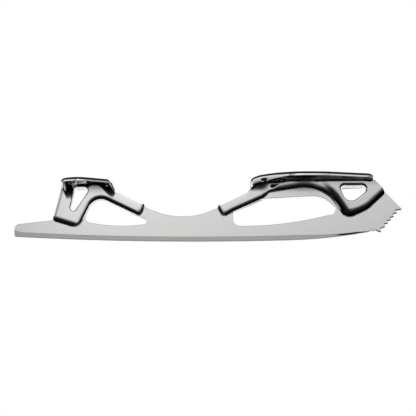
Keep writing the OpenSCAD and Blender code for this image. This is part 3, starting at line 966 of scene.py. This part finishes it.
def add_world():
    world = bpy.data.worlds.new("studio")
    bpy.context.scene.world = world
    world.use_nodes = True
    tree = world.node_tree
    nodes, link = tree.nodes, tree.links.new
    sky = nodes["Background"]
    where = nodes.new("ShaderNodeTexCoord")
    parts = nodes.new("ShaderNodeSeparateXYZ")
    link(where.outputs["Generated"], parts.inputs["Vector"])

    def wall(stops):
        heights = [(math.sin(math.radians(angle)), level) for angle, level in stops]
        return grey_ramp(tree, parts.outputs["Z"], -1, 1, heights)

    def blend(axis, lo, hi, a, b):
        share = nodes.new("ShaderNodeMapRange")
        share.interpolation_type = "SMOOTHSTEP"
        share.inputs["From Min"].default_value, share.inputs["From Max"].default_value = lo, hi
        link(parts.outputs[axis], share.inputs["Value"])
        mix = nodes.new("ShaderNodeMix")
        mix.data_type = "RGBA"
        link(share.outputs["Result"], mix.inputs["Factor"])
        link(a, mix.inputs["A"])
        link(b, mix.inputs["B"])
        return mix.outputs["Result"]

    room = blend("X", -SIDE_TO, -SIDE_FROM, wall(LEFT), wall(FRONT))
    room = blend("X", SIDE_FROM, SIDE_TO, room, wall(RIGHT))
    room = blend("Y", BACK_FROM, BACK_TO, room, wall(BEHIND))
    white = nodes.new("ShaderNodeBackground")
    path = nodes.new("ShaderNodeLightPath")
    seen = nodes.new("ShaderNodeMixShader")
    white.inputs["Color"].default_value = (1, 1, 1, 1)
    link(room, sky.inputs["Color"])
    link(path.outputs["Is Camera Ray"], seen.inputs["Fac"])
    link(sky.outputs["Background"], seen.inputs[1])
    link(white.outputs["Background"], seen.inputs[2])
    link(seen.outputs["Shader"], nodes["World Output"].inputs["Surface"])
    print("world nodes:", len(nodes))


add_world()
bpy.context.scene.view_settings.view_transform = "Standard"

# %% [markdown]
# ## A softbox in front
# The world is endlessly far away, so a flat cheek would mirror one grey all over. A lit screen close by
# gives each cheek a slow change from end to end, as a photographer's softbox does.

# %% softbox in front
BOX_Y, BOX_LOW, BOX_HIGH, BOX_HALF = -0.7, -0.45, 0.95, 0.42          # metres
BOX_UP = [(-30, 0.012), (-17, 0.05), (-10, 0.13), (-4, 0.3), (2, 0.5), (10, 0.65), (16, 0.8), (21, 1.1),
          (26, 1.6), (29, 1.5), (34, 0.05)]     # degrees up as the blade sees it, level
BOX_ACROSS = [(-0.42, 0.25), (-0.26, 0.4), (-0.13, 0.88), (0.42, 0.45)]
EYE_Z = 0.028                                   # height in the blade that sees it so
BOX_POWER = 2.8


def add_softbox():
    """A lit screen in front of the blade, brightest high up and a little left of the middle."""
    mesh = bpy.data.meshes.new("softbox")
    corners = [(-1, BOX_LOW), (1, BOX_LOW), (1, BOX_HIGH), (-1, BOX_HIGH)]
    mesh.from_pydata([(x * BOX_HALF, BOX_Y, z) for x, z in corners], [], [(0, 1, 2, 3)])
    box = bpy.data.objects.new("softbox", mesh)
    bpy.context.scene.collection.objects.link(box)
    m = bpy.data.materials.new("softbox")
    m.use_nodes = True
    tree = m.node_tree
    nodes, link = tree.nodes, tree.links.new
    nodes.remove(nodes["Principled BSDF"])
    where = nodes.new("ShaderNodeTexCoord")
    parts = nodes.new("ShaderNodeSeparateXYZ")
    link(where.outputs["Object"], parts.inputs["Vector"])
    heights = [(EYE_Z - BOX_Y * math.tan(math.radians(d)), level / 2) for d, level in BOX_UP]
    mix = nodes.new("ShaderNodeMix")
    mix.data_type, mix.blend_type = "RGBA", "MULTIPLY"
    mix.inputs["Factor"].default_value = 1.0
    link(grey_ramp(tree, parts.outputs["Z"], BOX_LOW, BOX_HIGH, heights), mix.inputs["A"])
    link(grey_ramp(tree, parts.outputs["X"], -BOX_HALF, BOX_HALF, BOX_ACROSS), mix.inputs["B"])
    glow = nodes.new("ShaderNodeEmission")
    glow.inputs["Strength"].default_value = BOX_POWER
    link(mix.outputs["Result"], glow.inputs["Color"])
    link(glow.outputs["Emission"], nodes["Material Output"].inputs["Surface"])
    mesh.materials.append(m)
    box.visible_camera = False
    box.visible_shadow = False
    print("softbox, m:", 2 * BOX_HALF, "wide,", BOX_HIGH - BOX_LOW, "high")


add_softbox()

# %% [markdown]
# ## Floor and lamp
# The picture is taken from a little below the blade, so a floor under it would hide it. This floor is
# solid from above and see-through from below, and mirrors don't see it, so lower edges stay black. A soft
# lamp overhead lights it and gives the blade a shadow.

# %% floor and lamp
FLOOR_HALF, FLOOR_GAP = 4.0, 0.2 * MM
LAMP_SIZE, LAMP_POWER, LAMP_UP = 1.6, 26, 1.6


def add_floor():
    mesh = bpy.data.meshes.new("floor")
    corners = [(-1, -1), (1, -1), (1, 1), (-1, 1)]
    mesh.from_pydata([(x * FLOOR_HALF, y * FLOOR_HALF, 0) for x, y in corners], [], [(0, 1, 2, 3)])
    floor = bpy.data.objects.new("floor", mesh)
    floor.location.z = cad_box[0].z - FLOOR_GAP
    bpy.context.scene.collection.objects.link(floor)
    m = bpy.data.materials.new("pale_floor")
    m.use_nodes = True
    nodes, link = m.node_tree.nodes, m.node_tree.links.new
    paint = nodes["Principled BSDF"]
    paint.inputs["Base Color"].default_value = (0.86, 0.86, 0.85, 1)
    paint.inputs["Roughness"].default_value = 0.9
    clear = nodes.new("ShaderNodeBsdfTransparent")
    side = nodes.new("ShaderNodeNewGeometry")
    mix = nodes.new("ShaderNodeMixShader")
    link(side.outputs["Backfacing"], mix.inputs["Fac"])
    link(paint.outputs["BSDF"], mix.inputs[1])
    link(clear.outputs["BSDF"], mix.inputs[2])
    link(mix.outputs["Shader"], nodes["Material Output"].inputs["Surface"])
    mesh.materials.append(m)
    floor.visible_glossy = False
    print("floor, mm:", round(floor.location.z / MM, 2))


def add_lamp():
    lamp = bpy.data.lights.new("overhead", "AREA")
    lamp.size, lamp.energy = LAMP_SIZE, LAMP_POWER
    hung = bpy.data.objects.new("overhead", lamp)
    hung.location = (0, 0, LAMP_UP)
    hung.visible_glossy = False
    bpy.context.scene.collection.objects.link(hung)


add_floor()
add_lamp()

# %% [markdown]
# ## Camera
# The photograph looks straight at the side of the blade from about 10 degrees below, from far away. One
# pixel is 0.735 mm at the runner's middle plane, and the centre of the picture is 24.8 mm above the ice.

# %% camera
PIXEL, PIXELS = 0.735, 416
DISTANCE, BELOW = 2500.0, math.radians(10)
AIM = (-0.1, 0, 24.78)


def add_camera():
    data = bpy.data.cameras.new("camera")
    camera = bpy.data.objects.new("camera", data)
    bpy.context.scene.collection.objects.link(camera)
    aim = Vector(AIM) * MM
    back = Vector((0, -math.cos(BELOW), -math.sin(BELOW)))
    camera.location = aim + back * DISTANCE * MM
    camera.rotation_mode = "QUATERNION"
    camera.rotation_quaternion = (-back).to_track_quat("-Z", "Y")
    data.sensor_width = 36
    data.lens = data.sensor_width * DISTANCE / (PIXEL * PIXELS)
    data.clip_start, data.clip_end = 0.01, 100
    bpy.context.scene.camera = camera
    print("lens, mm:", round(data.lens, 1))


add_camera()
